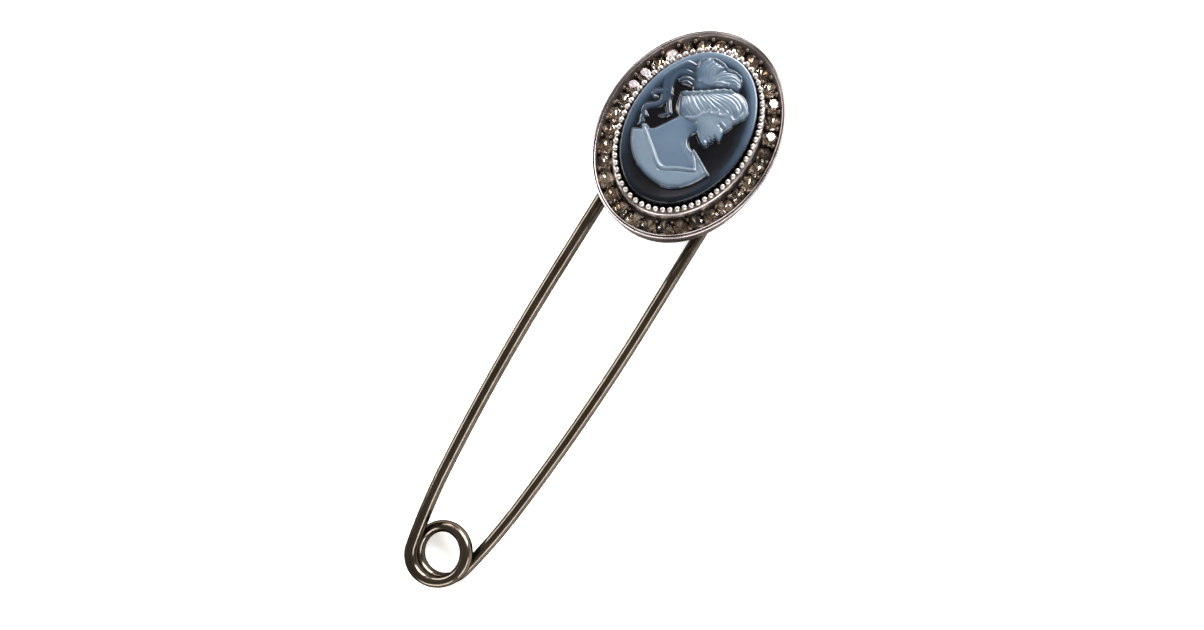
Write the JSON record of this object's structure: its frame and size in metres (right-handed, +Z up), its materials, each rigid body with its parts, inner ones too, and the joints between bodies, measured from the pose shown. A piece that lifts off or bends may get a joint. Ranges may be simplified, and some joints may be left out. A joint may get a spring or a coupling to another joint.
{
  "type": "cameo brooch",
  "caption": "Oval portrait cameo in a bead-edged, stone-set head on a coiled safety-pin brooch, lying on its back; the sprung needle swings in its catch.",
  "frame": {"origin": "middle of the brooch's box, on the surface that its back lies on", "axes": "+X across the brooch towards the needle, +Y along the pin from the coil to the head, +Z up out of the cameo's face"},
  "size_m": [0.0252, 0.0925, 0.0093],
  "materials": {
    "gunmetal_casting": "zinc alloy casting, polished and plated dark gunmetal",
    "gunmetal_wire": "drawn steel wire, polished and plated dark gunmetal",
    "resin": "moulded cameo resin, near-black navy ground with grey-blue relief",
    "stone_glass": "machine-cut smoky glass chaton"
  },
  "bodies": {
    "brooch": {"setting": "gunmetal_casting", "cameo": "resin", "fixed_arm": "gunmetal_wire", "stone_01": "stone_glass", "stone_02": "stone_glass", "stone_03": "stone_glass", "stone_04": "stone_glass", "stone_05": "stone_glass", "stone_06": "stone_glass", "stone_07": "stone_glass", "stone_08": "stone_glass", "stone_09": "stone_glass", "stone_10": "stone_glass", "stone_11": "stone_glass", "stone_12": "stone_glass", "stone_13": "stone_glass", "stone_14": "stone_glass", "stone_15": "stone_glass", "stone_16": "stone_glass", "stone_17": "stone_glass", "stone_18": "stone_glass", "stone_19": "stone_glass", "stone_20": "stone_glass", "stone_21": "stone_glass", "stone_22": "stone_glass", "stone_23": "stone_glass", "stone_24": "stone_glass", "stone_25": "stone_glass", "stone_26": "stone_glass", "stone_27": "stone_glass", "stone_28": "stone_glass", "stone_29": "stone_glass", "stone_30": "stone_glass", "stone_31": "stone_glass", "stone_32": "stone_glass", "stone_33": "stone_glass"},
    "needle": {"needle": "gunmetal_wire"}
  },
  "joints": [
    {"name": "needle_swing", "type": "hinge", "parent": "brooch", "child": "needle", "pos_m": [0, -0.04118, 0.00094], "axis": [0, 0, 1], "range_deg": [0, 6], "stiffness_Nm_per_rad": 1.5, "springref_deg": -1.15}
  ]
}
